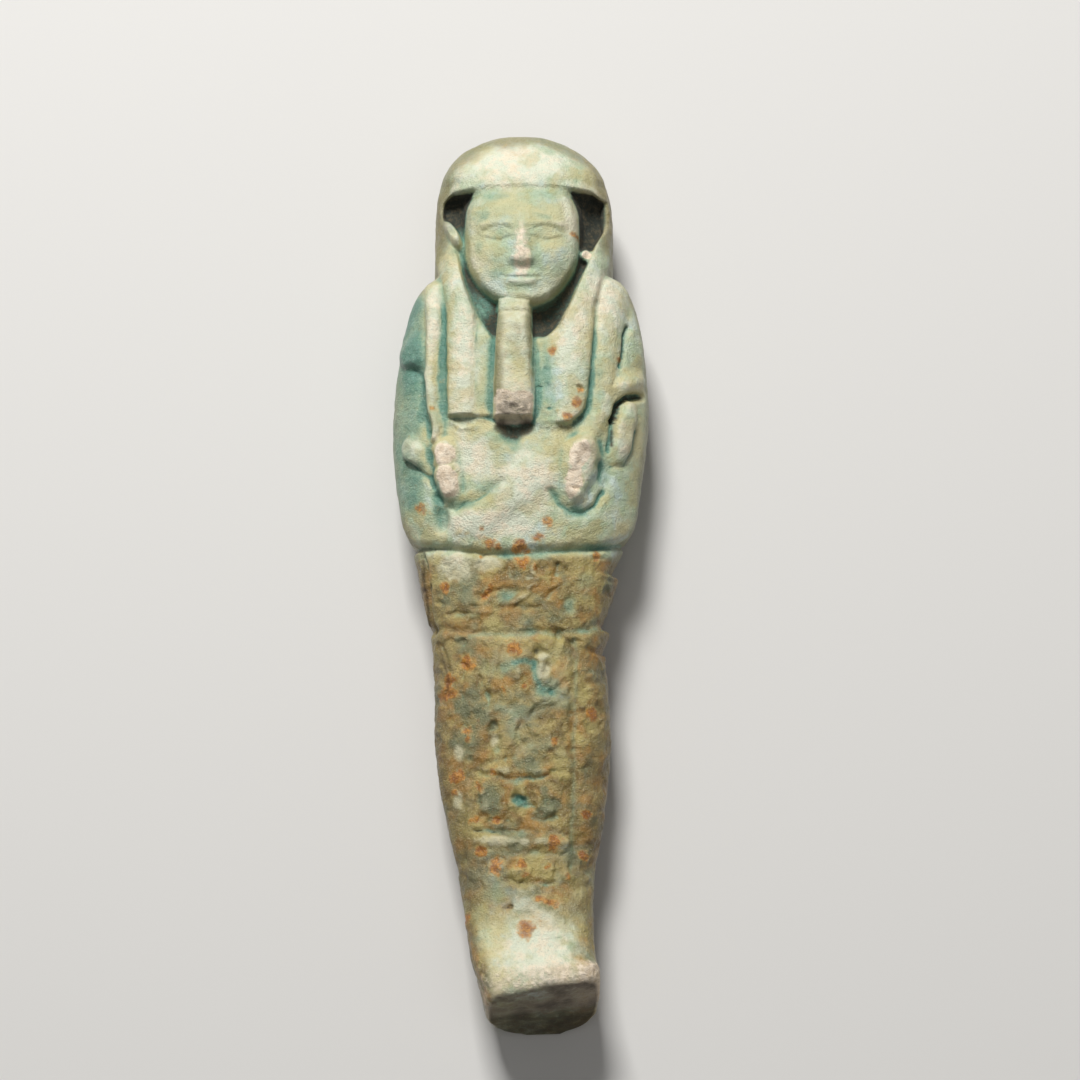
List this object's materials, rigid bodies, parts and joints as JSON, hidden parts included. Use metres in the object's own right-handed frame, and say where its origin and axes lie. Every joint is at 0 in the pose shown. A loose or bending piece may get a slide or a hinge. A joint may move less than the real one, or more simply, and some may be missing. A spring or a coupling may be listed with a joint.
{
  "type": "ushabti figurine",
  "caption": "Small mould-made faience funerary servant figure with long wig, false beard, crossed arms, worn writing and a flat back pillar it lies on.",
  "frame": {"origin": "on the floor under the middle of the lying figure's box", "axes": "+X across the figure towards its own left hand (the viewer's right), +Y from the feet to the head, +Z from the back pillar to the face"},
  "size_m": [0.0312, 0.1096, 0.0201],
  "materials": {
    "weathered_faience": "satin"
  },
  "bodies": {
    "root": {"ushabti_figurine": "weathered_faience"}
  },
  "joints": []
}
